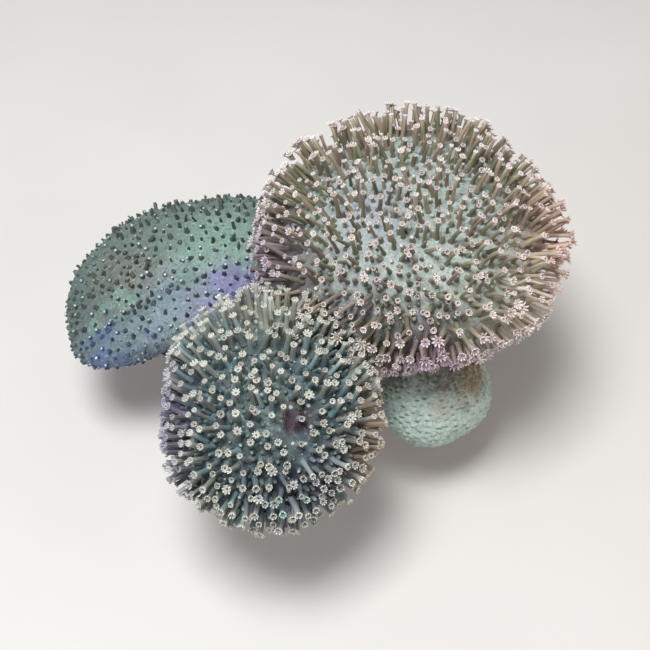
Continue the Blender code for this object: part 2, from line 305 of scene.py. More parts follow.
LARGE = Branch(
    name="large_branch",
    cap_centre=(32, 5, 92),
    lean=3,
    lean_towards=-90,
    turn=0,
    half_width=51,
    half_depth=51,
    dome=23,
    lip=9,
    funnel=22,
    neck=17,
    neck_at=(-5, 0),
    limb=LARGE_LIMB,
    lobes=((1, 0.025, 215), (3, 0.02, 75), (5, 0.015, 10)),
    bulges=((121, -0.07, 9), (146, 0.02, 12), (204, 0.03, 14)),
    droops=((1, 5, 42), (2, 3, 135), (5, 1.2, 60)),
    dimple=2.5,
    creases=(),
    seed=11,
)
FRONT = Branch(
    name="front_branch",
    cap_centre=(-24, -64.5, 74),
    lean=17,
    lean_towards=-90,
    turn=0,
    half_width=34.5,
    half_depth=39,
    dome=19,
    lip=8,
    funnel=17,
    neck=13,
    neck_at=(3, 8),
    limb=FRONT_LIMB,
    lobes=((3, 0.02, 90), (5, 0.015, 0)),
    bulges=((310, 0.03, 20),),
    droops=((3, 1.5, 0),),
    dimple=1.5,
    creases=(),
    seed=23,
)
LEFT = Branch(
    name="left_branch",
    cap_centre=(-64.5, 10.5, 62),
    lean=11,
    lean_towards=215,
    turn=26,
    half_width=50,
    half_depth=33,
    dome=13,
    lip=7,
    funnel=15,
    neck=12,
    neck_at=(15, -8),
    limb=LEFT_LIMB,
    lobes=((3, 0.02, 0),),
    bulges=((207, 0.10, 22), (25, 0.06, 20), (88, 0.08, 28)),
    droops=((2, 2, 90), (3, 1.5, 20)),
    dimple=0,
    creases=(((-46, -12), (2, -7), 3.5, 5),),
    seed=37,
)
SMALL = Branch(
    name="small_branch",
    cap_centre=(40.5, -34, 44),
    lean=24,
    lean_towards=-60,
    turn=0,
    half_width=23.5,
    half_depth=23.5,
    dome=15,
    lip=6,
    funnel=9,
    neck=9.5,
    neck_at=(-3, 3),
    limb=SMALL_LIMB,
    lobes=((3, 0.02, 0),),
    bulges=((305, -0.05, 26),),
    droops=((2, 1, 0),),
    dimple=0,
    creases=(),
    seed=41,
)
BRANCHES = (LARGE, FRONT, LEFT, SMALL)


def waves(terms, angle):
    """A sum of cosines round the rim: how many, how much, and where the first one peaks."""
    each = (size * np.cos(count * (angle - math.radians(peak))) for count, size, peak in terms)
    return sum(each, 0 * angle)


def bulging(terms, angle):
    """A sum of single bulges of the rim, or notches where negative: where, how much, and half how wide."""
    total = 0 * angle
    for peak, size, half_width in terms:
        away = (np.degrees(angle) - peak + 180) % 360 - 180
        total = total + size * np.exp(-((away / half_width) ** 2))
    return total


def outline(branch, angle):
    """The cap's outline, seen down its own axis."""
    spread = 1 + waves(branch.lobes, angle) + bulging(branch.bulges, angle)
    across, back = branch.half_width * spread, branch.half_depth * spread
    return np.stack((across * np.cos(angle), back * np.sin(angle)), 1)


def sunk(branch, flat):
    """How far the top skin sinks: the dimple at its middle, and its creases."""
    depth = branch.dimple * np.exp(-(flat**2).sum(1) / (DIMPLE_REACH * branch.half_width) ** 2)
    for start, end, deepest, half_width in branch.creases:
        run = np.subtract(end, start)
        along = np.clip((flat - start) @ run / (run @ run), 0, 1)
        away = np.linalg.norm(flat - start - along[:, None] * run, axis=1)
        depth = depth + deepest * np.exp(-((away / half_width) ** 2))
    return depth


def cap_turn(branch):
    """The rotation from the cap's own frame to the colony's."""
    lean = UP.rotation_difference(direction(branch.lean, branch.lean_towards))
    return lean @ Quaternion(UP, math.radians(branch.turn))


def cap_points(branch, share, angle):
    """Points of the cap's skin in metres: 0 is its middle, 1 the rim, 2 under the lip and 3 the neck."""
    share, angle = np.asarray(share, float), np.asarray(angle, float)
    rim, droop = outline(branch, angle), waves(branch.droops, angle)
    top = np.clip(share, 0, 1) * math.pi / 2
    reach = np.sin(top)
    flat = rim * reach[:, None]
    height = branch.dome * np.cos(top) + droop * reach**3 - sunk(branch, flat) * (1 - reach**6)
    rolled = np.clip(share - UNDER_RIM, 0, 1) * math.pi / 2
    inner = LIP_INNER + (1 - LIP_INNER) * np.cos(rolled)
    flat = flat * inner[:, None]
    height = np.where(share > UNDER_RIM, droop - branch.lip * np.sin(rolled), height)
    down = np.clip(share - UNDER_LIP, 0, 1)
    keep = (1 - down) ** FUNNEL_FLARE
    neck = np.stack((np.cos(angle), np.sin(angle)), 1) * branch.neck + branch.neck_at
    funnel = neck * (1 - keep[:, None]) + rim * LIP_INNER * keep[:, None]
    flat = np.where((share > UNDER_LIP)[:, None], funnel, flat)
    height = np.where(share > UNDER_LIP, droop * keep - branch.lip - branch.funnel * down, height)
    turned = np.array(cap_turn(branch).to_matrix())
    return (np.column_stack((flat, height)) @ turned.T + branch.cap_centre) * MM


def stalk_ring(branch, along, angle):
    """One ring of the stalk, in metres: along is 0 at the neck, 1 at the fork, and over 1 inside the limb."""
    turned, limb = cap_turn(branch), branch.limb
    up_cap, up_fork = turned @ UP, direction(limb.lean, limb.towards)
    neck = Vector(branch.cap_centre) + turned @ Vector((*branch.neck_at, -branch.lip - branch.funnel))
    fork = Vector(limb.end)
    pull = (neck - fork).length / 3
    a, b, c, d = neck, neck - up_cap * pull, fork + up_fork * pull, fork
    run = min(1, along)
    rest = 1 - run
    middle = a * rest**3 + b * 3 * rest**2 * run + c * 3 * rest * run**2 + d * run**3
    slope = (b - a) * rest**2 + (c - b) * 2 * rest * run + (d - c) * run**2
    buried = max(0, along - 1)
    middle -= up_fork * buried * SEAM_DEPTH
    radius = branch.neck + (limb.radius - branch.neck) * run - SEAM_NARROWED * buried
    across = np.stack((np.cos(angle), np.sin(angle), 0 * angle), 1) * radius
    spin = ((turned @ UP).rotation_difference(-slope.normalized()) @ turned).to_matrix()
    return (across @ np.array(spin).T + middle) * MM


def skin_grid(branch, cells, rings_down):
    """The skin's points and faces, and how far down and round each point is.

    It is a disc of squares on top, then rings down the lip, the funnel and the stalk, this many on each."""
    side = np.linspace(-1, 1, cells + 1)
    x, y = (axis.ravel() for axis in np.meshgrid(side, side))
    disc_x, disc_y = x * np.sqrt(1 - y * y / 2), y * np.sqrt(1 - x * x / 2)
    share, angle = np.minimum(1, np.hypot(disc_x, disc_y)), np.arctan2(disc_y, disc_x)
    row = cells + 1
    corner = [j * row + i for j in range(cells) for i in range(cells)]
    faces = [(k, k + 1, k + row + 1, k + row) for k in corner]
    last = row * cells
    front, right = range(cells), range(cells, last + cells, row)
    rear, left = range(last + cells, last, -1), range(last, 0, -row)
    border = [*front, *right, *rear, *left]
    lip_steps, funnel_steps, stalk_steps = rings_down
    shares = [UNDER_RIM + (k + 1) / lip_steps for k in range(lip_steps)]
    shares += [UNDER_LIP + (k + 1) / funnel_steps for k in range(funnel_steps)]
    round_angle = angle[border]
    rings = [cap_points(branch, np.full(len(border), down), round_angle) for down in shares]
    stalk = [(k + 1) / stalk_steps for k in range(stalk_steps + 1)]
    stalk[-1] = 2.0
    rings += [stalk_ring(branch, along, round_angle) for along in stalk]
    shares += [AT_NECK + along for along in stalk]
    points = np.vstack((cap_points(branch, share, angle), *rings))
    down = np.concatenate((share, *(np.full(len(border), value) for value in shares)))
    around = np.concatenate((angle, *(round_angle for _ in shares)))
    upper, first, count = border, row * row, len(border)
    for ring in range(len(shares)):
        lower = range(first + ring * count, first + (ring + 1) * count)
        faces += [(upper[k], lower[k], lower[(k + 1) % count], upper[(k + 1) % count]) for k in range(count)]
        upper = lower
    faces.append(tuple(upper))
    return points, faces, down, around


def nearest_feet(points, feet):
    """For each point the polyp foot nearest to it, as the way there in millimetres."""
    tree = kdtree.KDTree(len(feet))
    for number, foot in enumerate(feet):
        tree.insert(foot, number)
    tree.balance()
    return (points - np.array([tree.find(point)[0] for point in points])) / MM


def mounds(points, feet, height, width):
    """Low mounds round the polyps' feet, this high and wide, and where they are, from 0 to 1."""
    away = np.linalg.norm(nearest_feet(points, feet), axis=1)
    near = np.exp(-((away / width) ** 2))
    return height * near, near


PIT_STRENGTH = (0.25, 1.5)
PIT_OUT = 0.8
PIT_LENGTH = 0.42
PIT_WIDTH = 0.8
PIT_DEPTH = 0.9
SCALE_BACK = 0.1


def scales(points, normals, feet, height, width, away_from):
    """Low scales that overlap outwards from a point, with a slit of a pit under each one's outer edge.

    Some pits are deep and some are barely there. It also gives how raised each point is, from 0 to 1."""
    offset = nearest_feet(points, feet)
    outward = points / MM - np.array(away_from)
    outward -= normals * (outward * normals).sum(1)[:, None]
    outward /= np.linalg.norm(outward, axis=1)[:, None] + 1e-6
    past = (offset * outward).sum(1)
    beside = np.linalg.norm(offset - outward * past[:, None], axis=1)
    strong = np.clip(0.9 + 1.3 * crinkle(points - offset * MM, 1.7), *PIT_STRENGTH)
    rise = np.exp(-(((past + SCALE_BACK) / width) ** 2) - (beside / width) ** 2)
    pit = strong * np.exp(-(((past - PIT_OUT) / PIT_LENGTH) ** 2) - (beside / PIT_WIDTH) ** 2)
    return height * (rise * (0.5 + 0.5 * strong) - PIT_DEPTH * pit), 1 - np.minimum(1, pit)


def keep_values(piece, name, values):
    """Stores one number for each point, for the material to read."""
    layer = piece.data.attributes.new(name, "FLOAT", "POINT")
    layer.data.foreach_set("value", np.asarray(values, np.float32))


BARE_FROM = 1.6
BARE_OVER = 0.8
SEAM_OVER = 0.25
WRINKLES_ROUND = 9
WRINKLES_DOWN = 1.3
STRETCH_DOWN = 5
BROAD_RELIEF = ((0.8, 16), (0.35, 5), (0.16, 2.2))
BARE_WRINKLES = 0.55
BARE_BROAD = 0.4


def grow_skin(branch, cells, rings_down, relief):
    """The branch's skin: the grid, lifted by its relief, with bare wrinkles below the lip."""
    points, faces, down, around = skin_grid(branch, cells, rings_down)
    piece = make_piece(f"{branch.name}_skin", points, faces)
    points, normals = points_of(piece)
    bare = np.clip((down - BARE_FROM) / BARE_OVER, 0, 1)
    seam = np.clip((AT_FORK - down) / SEAM_OVER, 0, 1)
    turn_x, turn_y = np.cos(around), np.sin(around)
    ring = np.stack((turn_x * WRINKLES_ROUND, turn_y * WRINKLES_ROUND, down * WRINKLES_DOWN), 1)
    wrinkles = np.array([noise.noise(Vector(place)) for place in ring])
    broad = sum(height * crinkle(points, size) for height, size in BROAD_RELIEF)
    lift, raised = relief(points, normals)
    lift = (1 - bare) * (lift + broad) + bare * seam * (BARE_WRINKLES * wrinkles + BARE_BROAD * broad)
    move_points(piece, points + normals * (lift * MM)[:, None])
    keep_values(piece, "down", down)
    keep_values(piece, "raised", raised)
    neck = branch.neck
    lay_lengthwise(piece, np.stack((turn_x * neck, turn_y * neck, down * STRETCH_DOWN), 1) * MM)
    return piece


def nearness(points, centre, reach):
    """1 at this centre and falling off round it, over this reach in millimetres."""
    return np.exp(-((np.linalg.norm(np.asarray(points) / MM - centre, axis=1) / reach) ** 2))


def spaced(places, apart):
    """Which places to keep, so that each has its spacing in metres from those kept before it."""
    kept = [0]
    for number in range(1, len(places)):
        if (np.linalg.norm(places[kept] - places[number], axis=1) > apart[number]).all():
            kept.append(number)
    return kept


FOOT_TRIES = 26000
WIDEST_FROM = 0.88


def polyp_places(branch, middle, rim, lowest, uneven=()):
    """Feet in metres over the cap's top and down its lip: these far apart in its middle and at its rim.

    Uneven says where they crowd or leave bare skin: a centre, a reach, and the factor on their spacing."""
    rng = np.random.default_rng(branch.seed)
    share = np.sqrt(rng.uniform(0, lowest**2, FOOT_TRIES))
    places = cap_points(branch, share, rng.uniform(-math.pi, math.pi, FOOT_TRIES))
    apart = (middle + (rim - middle) * np.clip(share / WIDEST_FROM, 0, 1) ** 2) * MM
    for centre, reach, factor in uneven:
        apart *= 1 + (factor - 1) * nearness(places, centre, reach)
    kept = spaced(places, apart)
    return places[kept], share[kept]


FULL_TINT_SHARE = 0.25
EDGE_RAGS = 10
EDGE_TORN = 36


def shade_spot(tree, place, centre, reach):
    """1 near this spot of the colony, fading to 0 at its reach in millimetres."""
    away = add_node(tree, "ShaderNodeVectorMath", {"operation": "DISTANCE"}, in0=place,
                    in1=tuple(v * MM for v in centre))
    fade = add_node(tree, "ShaderNodeMapRange", {"interpolation_type": "SMOOTHSTEP"},
                    in0=away.outputs["Value"], in1=reach * FULL_TINT_SHARE * MM, in2=reach * MM, in3=1, in4=0)
    return fade.outputs[0]


def tinted(tree, place, colour, spots):
    """The colour with each spot's tint over it, ragged at its edge: centre, reach, tint and strength."""
    ragged = add_node(tree, "ShaderNodeTexNoise", Vector=place, Scale=1 / (EDGE_RAGS * MM), Detail=6,
                      Roughness=0.7)
    centred = add_node(tree, "ShaderNodeVectorMath", {"operation": "SUBTRACT"}, in0=ragged.outputs["Color"],
                       in1=(0.5, 0.5, 0.5))
    torn = add_node(tree, "ShaderNodeVectorMath", {"operation": "MULTIPLY_ADD"}, in0=centred.outputs[0],
                    in1=(EDGE_TORN * MM,) * 3, in2=place)
    for centre, reach, tint, strength in spots:
        near = shade_spot(tree, torn.outputs[0], centre, reach)
        much = add_node(tree, "ShaderNodeMath", {"operation": "MULTIPLY"}, in0=near, in1=strength)
        colour = blended(tree, much.outputs[0], colour, tint)
    return colour


def marked(tree, place, colour, centre, reach, tint, least):
    """The colour with a tint near this spot: most in creases that run back and down, least between."""
    drawn = add_node(tree, "ShaderNodeMapping", in0=place, Scale=(1, 0.2, 0.2))
    lines = add_node(tree, "ShaderNodeTexNoise", Vector=drawn.outputs[0], Scale=1 / (1.9 * MM), Detail=3)
    creases = ramped(tree, lines.outputs["Fac"], 0.5, 0.64, least, 0.9)
    much = add_node(tree, "ShaderNodeMath", {"operation": "MULTIPLY"},
                    in0=shade_spot(tree, place, centre, reach), in1=creases)
    return blended(tree, much.outputs[0], colour, tint)


def cap_flesh(name, middle, rim, dark_tone_and_shade, hollow_shade, pit_shade, stain, speck, spots, marks=()):
    """Living coral skin, moist and fine-grained: painted shade in its hollows, dotted with its smallest
    polyps.
    """
    material, tree, shader = start_material(name)
    place = add_node(tree, "ShaderNodeTexCoord").outputs["Object"]
    down = add_node(tree, "ShaderNodeAttribute", {"attribute_name": "down"}).outputs["Fac"]
    raised = add_node(tree, "ShaderNodeAttribute", {"attribute_name": "raised"}).outputs["Fac"]
    cloudy = add_node(tree, "ShaderNodeTexNoise", Vector=place, Scale=1 / (11 * MM), Detail=4, Roughness=0.6)
    blurred = add_node(tree, "ShaderNodeMath", {"operation": "MULTIPLY_ADD"}, in0=cloudy.outputs["Fac"],
                       in1=0.9, in2=ramped(tree, down, 0.35, 1.0))
    skin = blended(tree, ramped(tree, blurred.outputs[0], 0.6, 1.3), middle, rim)
    blotches = add_node(tree, "ShaderNodeTexNoise", Vector=place, Scale=1 / (5 * MM), Detail=5,
                        Roughness=0.65)
    shaded = blended(tree, ramped(tree, blotches.outputs["Fac"], 0.5, 0.68, 0, 0.55), skin, dark_tone_and_shade)
    stains = add_node(tree, "ShaderNodeTexNoise", Vector=place, Scale=1 / (8 * MM), Detail=5, Roughness=0.7)
    stained = blended(tree, ramped(tree, stains.outputs["Color"], 0.53, 0.66, 0, 0.7), shaded, stain)
    colour = tinted(tree, place, stained, spots)
    pores = add_node(tree, "ShaderNodeTexVoronoi", Vector=place, Scale=1 / (1.5 * MM))
    dots = ramped(tree, pores.outputs["Distance"], 0.14, 0.3, 0.75, 0)
    patchy = add_node(tree, "ShaderNodeTexNoise", Vector=place, Scale=1 / (6 * MM), Detail=3)
    often = ramped(tree, patchy.outputs["Fac"], 0.48, 0.62)
    shown = add_node(tree, "ShaderNodeMath", {"operation": "MULTIPLY"}, in0=dots, in1=often)
    dotted = blended(tree, shown.outputs[0], colour, speck)
    # Dark dots for small pits 2.3 mm apart: painted shade in pits that are not modelled.
    pits = add_node(tree, "ShaderNodeTexVoronoi", Vector=place, Scale=1 / (2.3 * MM))
    pitted = blended(tree, ramped(tree, pits.outputs["Distance"], 0.12, 0.27, pit_shade, 0), dotted, dark_tone_and_shade)
    # Between the mounds, and in the slits under the scales, the skin goes over to the dark colour: painted
    # shade in the hollows.
    hollow_shaded = blended(tree, ramped(tree, raised, 0.15, 0.9, hollow_shade, 0), pitted, dark_tone_and_shade)
    for mark in marks:
        hollow_shaded = marked(tree, place, hollow_shaded, *mark)
    # Fine grain lightens and darkens the skin at random; its lightest specks are partly painted glints of the
    # wet skin.
    grains = add_node(tree, "ShaderNodeTexNoise", Vector=place, Scale=1 / (0.9 * MM), Detail=3, Roughness=0.7)
    living = toned(tree, hollow_shaded, ramped(tree, grains.outputs["Fac"], 0.3, 0.7, 0.72, 1.28))
    bare, lines = wrinkled_stalk_colour(tree, place)
    under = ramped(tree, down, 1.35, 2.3)
    height = add_node(tree, "ShaderNodeMix", in0=under, in2=grains.outputs["Fac"], in3=lines)
    bump = add_node(tree, "ShaderNodeBump", Strength=0.7, Distance=0.4 * MM, Height=height.outputs[0])
    tree.links.new(blended(tree, under, living, bare), shader.inputs["Base Color"])
    tree.links.new(bump.outputs[0], shader.inputs["Normal"])
    tree.links.new(ramped(tree, grains.outputs["Fac"], 0.3, 0.7, 0.5, 0.3), shader.inputs["Roughness"])
    soft_flesh_surface(shader)
    return material


LARGE_SKIN_TINTS_AND_SHADE = (
    ((16, -1, 112), 24, "#a3a8ba", 0.6),
    ((32, 36, 108), 12, "#8fb8b2", 0.6),
    ((-6, 10, 101), 16, "#8fb8b0", 0.6),
    ((60, -26, 100), 28, "#bec8b9", 0.65),
    ((6, -32, 92), 20, "#8f959a", 0.5),
    ((98, -4, 90), 48, "#88594e", 0.8),
    ((34, 72, 96), 40, "#6f5f58", 0.85),
    ((-16, 44, 92), 26, "#5c544e", 0.8),
    # Near-black purple at the low front rim, above the small cap: painted shade under the rim.
    ((36, -56, 80), 29, "#3f2f40", 0.95),
    # Purple-grey at the low left rim: the flesh's mauve, partly painted shade where the caps meet.
    ((-26, -10, 84), 32, "#544657", 0.85),
)
FRONT_SKIN_TINTS_AND_SHADE = (
    # Dark purple at the left: the flesh's purple, partly painted violet shade.
    ((-62, -66, 70), 30, "#43334c", 0.85),
    ((14, -72, 70), 26, "#5a3a34", 0.8),
    ((-3, -84, 85), 17, "#64788c", 0.6),
    ((-40, -84, 82), 12, "#4a2e3c", 0.7),
    # Near-black maroon at a hollow: maroon flesh with painted shade of a hole that is not modelled.
    ((-14, -79, 88), 12, "#2a0819", 1.0),
    # Dark blue along the front edge: painted shade in blue light.
    ((-10, -104, 74), 20, "#3f4a60", 0.75),
    ((-24, -38, 88), 24, "#9bada4", 0.75),
)
LEFT_SKIN_TINTS_LIGHT_AND_SHADE = (
    # Brown-grey behind the crease: the knobs' brown, partly painted shade along the crease.
    ((-84, 4, 71), 26, "#767469", 0.55),
    ((-102, -4, 56), 26, "#5c6a66", 0.65),
    ((-47, 15, 74), 30, "#9bc2b1", 0.6),
    # Bright green along the crease's ridge: painted highlight on the fold.
    ((-93, -13, 64), 8, "#7fba98", 0.6),
    ((-84, -10, 67), 8, "#7fba98", 0.6),
    # From here on, grey-blue, violet and blue over the lower band that slopes away at the front: painted
    # shade in blue light.
    ((-64, -10, 66), 24, "#8aa3b0", 0.65),
    ((-38, -7, 69), 21, "#8c82c2", 0.85),
    ((-50, -13, 64), 16, "#958fbd", 0.65),
    ((-62, -24, 55), 14, "#675e9c", 0.75),
    ((-88, -26, 50), 20, "#5a73ac", 0.65),
    ((-80, -18, 57), 20, "#71879f", 0.6),
)
SMALL_SKIN_TINTS_AND_SHADE = (
    ((52, -29, 61), 16, "#7c6750", 0.9),
    ((57, -36, 55), 13, "#867358", 0.8),
    # Purple-grey at the top left, under the large cap's rim: the flesh's tint, partly painted shade.
    ((41, -35, 58), 11, "#706367", 0.75),
    ((28, -32, 54), 10, "#5d5570", 0.85),
    ((44, -50, 56), 10, "#a9a69c", 0.6),
    ((19, -43, 46), 10, "#93a6b8", 0.6),
)
# A near-black dot near the large cap's middle: painted shade of a small hole that is not modelled.
LARGE_HOLE_SHADE = (((27, -10, 112.5), 2.5, "#1a1a18", 1.0),)
# A deep maroon mark on the same hollow: maroon flesh with painted shade of the hole.
FRONT_HOLLOW_FLESH_AND_SHADE = (((-14, -79, 88), 6, "#280620", 0.95),)
SMALL_MARKS = (
    ((55, -31, 58), 17, "#b3a07c", 0.0),
    ((37, -33, 58), 12, "#a3a59b", 0.0),
)
FRONT_UNEVEN = (((-13, -81, 87), 7, 1.5),)
LEFT_UNEVEN = (
    ((-84, 2, 71), 14, 0.72),
    ((-48, 12, 74), 14, 1.2),
    ((-40, -11, 67), 11, 0.8),
)
SCALES_FROM = (40, -22, 70)
RINGS = (8, 14, 12)
SMALL_RINGS = (8, 12, 10)

large_feet, large_down = polyp_places(LARGE, middle=4.1, rim=2.6, lowest=1.6)
large_skin = grow_skin(LARGE, 110, RINGS, lambda points, _: mounds(points, large_feet, 0.7, 1.5))
dress(large_skin,
      cap_flesh("mint_grey_cap_skin", middle="#aeb9b4", rim="#80726a", dark_tone_and_shade="#6c756f", hollow_shade=0.3,
                pit_shade=0.6, stain="#a09fb2", speck="#dcdee6",
                spots=LARGE_SKIN_TINTS_AND_SHADE, marks=LARGE_HOLE_SHADE))
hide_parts("large_branch")
front_feet, front_down = polyp_places(FRONT, middle=3.4, rim=2.75, lowest=1.6, uneven=FRONT_UNEVEN)
front_skin = grow_skin(FRONT, 84, RINGS, lambda points, _: mounds(points, front_feet, 0.7, 1.5))
# The front cap's skin goes almost to black between its tube feet: painted shade in the deep gaps among its
# tubes.
dress(front_skin,
      cap_flesh("teal_green_cap_skin", middle="#799599", rim="#5e585c", dark_tone_and_shade="#2b3133", hollow_shade=0.75,
                pit_shade=0.3, stain="#46303c", speck="#9ab4ac",
                spots=FRONT_SKIN_TINTS_AND_SHADE, marks=FRONT_HOLLOW_FLESH_AND_SHADE))
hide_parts("front_branch")
left_feet, left_down = polyp_places(LEFT, middle=3.6, rim=2.8, lowest=1.7, uneven=LEFT_UNEVEN)
left_skin = grow_skin(LEFT, 110, RINGS, lambda points, _: mounds(points, left_feet, 0.75, 1.25))
dress(left_skin,
      cap_flesh("grey_green_cap_skin", middle="#7b8c86", rim="#6d7b76", dark_tone_and_shade="#4a5653", hollow_shade=0.4,
                pit_shade=0.8, stain="#77776c", speck="#c4d2cd",
                spots=LEFT_SKIN_TINTS_LIGHT_AND_SHADE))
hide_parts("left_branch")
small_pits, _ = polyp_places(SMALL, middle=2.45, rim=2.3, lowest=1.8)
small_skin = grow_skin(SMALL, 132, SMALL_RINGS, lambda *at: scales(*at, small_pits, 0.7, 1.1, SCALES_FROM))
# The small cap's scale pits take the dark green-grey: painted shade in the pits.
dress(small_skin,
      cap_flesh("scaly_mint_cap_skin", middle="#b3c4bb", rim="#a8bbb2", dark_tone_and_shade="#4c6660", hollow_shade=0.85,
                pit_shade=0.0, stain="#a9a99f", speck="#c6d2cc",
                spots=SMALL_SKIN_TINTS_AND_SHADE, marks=SMALL_MARKS))
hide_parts("small_branch")


# The open polyps
# Each is a soft hollow tube that the colony pumps up with water, about 2 mm thick and up to 14 long.
# Its wall is see-through enough to show the eight partitions inside as paler stripes along it.
# The paler stripes are partly painted highlight, the sheen along the wet wall.

TUBE_SIDES = 8
SHORTEST_TUBE = 2.5
ROOT_SUNK = 0.4
TUBE_CLEARANCE = 0.5
TUBE_TESTED_AT = (0.35, 0.7, 1.0)
PARTITIONS = 8
INSIDE = 1.001
TUBE_PROFILE = (
    (0.00, 1.60), (0.07, 1.22), (0.20, 1.03), (0.45, 0.95), (0.72, 0.90), (0.90, 0.96), (1.00, 1.14),
    (1.005, 0.86), (0.99, 0.50), (0.94, 0.34),
)


class Standing(NamedTuple):
    """How a cap's polyps stand, in millimetres.

    Length is the shortest and the longest, and by_share multiplies it on the way out to the rim and under it.
    Short is how often a polyp is shorter, by what factor, and how far out. Combed and trimmed hold the places
    where they lean some way, or are longer or shorter: a centre, a reach, and the push or the factor."""

    length: tuple
    by_share: tuple
    width: float
    splay: float
    lift: float
    bend: float
    short: tuple
    combed: tuple
    trimmed: tuple


def polyp_axes(branch, skin, feet, down, how):
    """Foot, way out of the skin, and way at the tip of each polyp, with its length in metres."""
    rng = np.random.default_rng(branch.seed + 1)
    axis = cap_turn(branch) @ UP
    roots, starts, ends = [], [], []
    for foot in feet:
        _, near, normal, _ = skin.closest_point_on_mesh(Vector(foot))
        outward = near - Vector(branch.cap_centre) * MM
        outward -= axis * outward.dot(axis)
        splay = how.splay * outward / (branch.half_width * MM)
        way = normal + splay + axis * how.lift + Vector(rng.uniform(-how.bend, how.bend, 3))
        for centre, reach, push in how.combed:
            away = (near - Vector(centre) * MM).length / (reach * MM)
            way += Vector(push) * math.exp(-(away**2))
        roots.append(near - normal * ROOT_SUNK * MM)
        starts.append(normal)
        ends.append(way.normalized())
    low, high = how.length
    shares, factors = zip(*how.by_share)
    length = rng.uniform(low, high, len(feet)) * MM * np.interp(down, shares, factors)
    chance, factor, within = how.short
    length[(rng.uniform(0, 1, len(feet)) < chance) & (down < within)] *= factor
    for centre, reach, against in how.trimmed:
        length *= 1 + (against - 1) * nearness(roots, centre, reach)
    return np.array(roots), np.array(starts), np.array(ends), length


def in_other_cap(branch, points, clearance):
    """For each point, whether it lies within the clearance of another branch's cap."""
    inside = np.zeros(len(points), bool)
    for other in BRANCHES:
        if other is branch:
            continue
        turned = np.array(cap_turn(other).to_matrix())
        seen = (points / MM - other.cap_centre) @ turned
        angle = np.arctan2(seen[:, 1], seen[:, 0])
        far = np.minimum(1, np.hypot(seen[:, 0], seen[:, 1]) / other.half_width)
        seen[:, 2] -= waves(other.droops, angle) * far**3
        depth = np.where(seen[:, 2] > 0, other.dome, other.lip + other.funnel)
        across = (seen[:, 0] / (other.half_width + clearance)) ** 2
        across += (seen[:, 1] / (other.half_depth + clearance)) ** 2
        inside |= across + (seen[:, 2] / (depth + clearance)) ** 2 < 1
    return inside


def tube_rings(roots, starts, ends, length, width, profile, sides):
    """Every tube's rings, by tube, ring, side and axis, and each tip, its way out and a way across it."""
    at = np.array([share for share, _ in profile])[None, :, None]
    radius = np.array([size for _, size in profile])[None, :, None, None] * (width / 2)[:, None, None, None]
    half = length[:, None] / 2
    first, second, third = roots, roots + starts * half, roots + starts * half + ends * half
    run = np.minimum(at, 1)
    middle = first[:, None] * (1 - run) ** 2 + second[:, None] * 2 * run * (1 - run) + third[:, None] * run**2
    slope = (second - first)[:, None] * (1 - run) + (third - second)[:, None] * run
    slope /= np.linalg.norm(slope, axis=2, keepdims=True)
    middle = middle + slope * (at - run) * length[:, None, None]
    aside = np.cross(slope, np.array((0.31, 0.87, 0.38)))
    aside /= np.linalg.norm(aside, axis=2, keepdims=True)
    other = np.cross(slope, aside)
    turns = np.linspace(0, 2 * math.pi, sides, endpoint=False)[None, None, :, None]
    around = np.cos(turns) * aside[:, :, None] + np.sin(turns) * other[:, :, None]
    return middle[:, :, None] + radius * around, third, slope[:, -1], aside[:, -1]


def many_tubes(name, rings, profile, values):
    """All the tubes as one mesh, with stripes mapped round them and along them."""
    count, steps, sides, _ = rings.shape
    one = ring_faces(steps, sides)
    faces = [tuple(corner + tube * steps * sides for corner in face) for tube in range(count) for face in one]
    piece = make_piece(name, rings.reshape(-1, 3), faces)
    along = [min(share, 1) for share, _ in profile]
    marks = []
    for ring in range(steps - 1):
        for k in range(sides):
            low, high = along[ring], along[ring + 1]
            marks += [(k / sides, low), ((k + 1) / sides, low), ((k + 1) / sides, high), (k / sides, high)]
    marks += [(0.0, along[0])] * sides + [(0.0, 1.1)] * sides
    layer = piece.data.uv_layers.new(name="round_and_along")
    layer.data.foreach_set("uv", np.tile(np.array(marks, np.float32).ravel(), count))
    for key, each in values.items():
        keep_values(piece, key, np.repeat(each, steps * sides))
    return piece


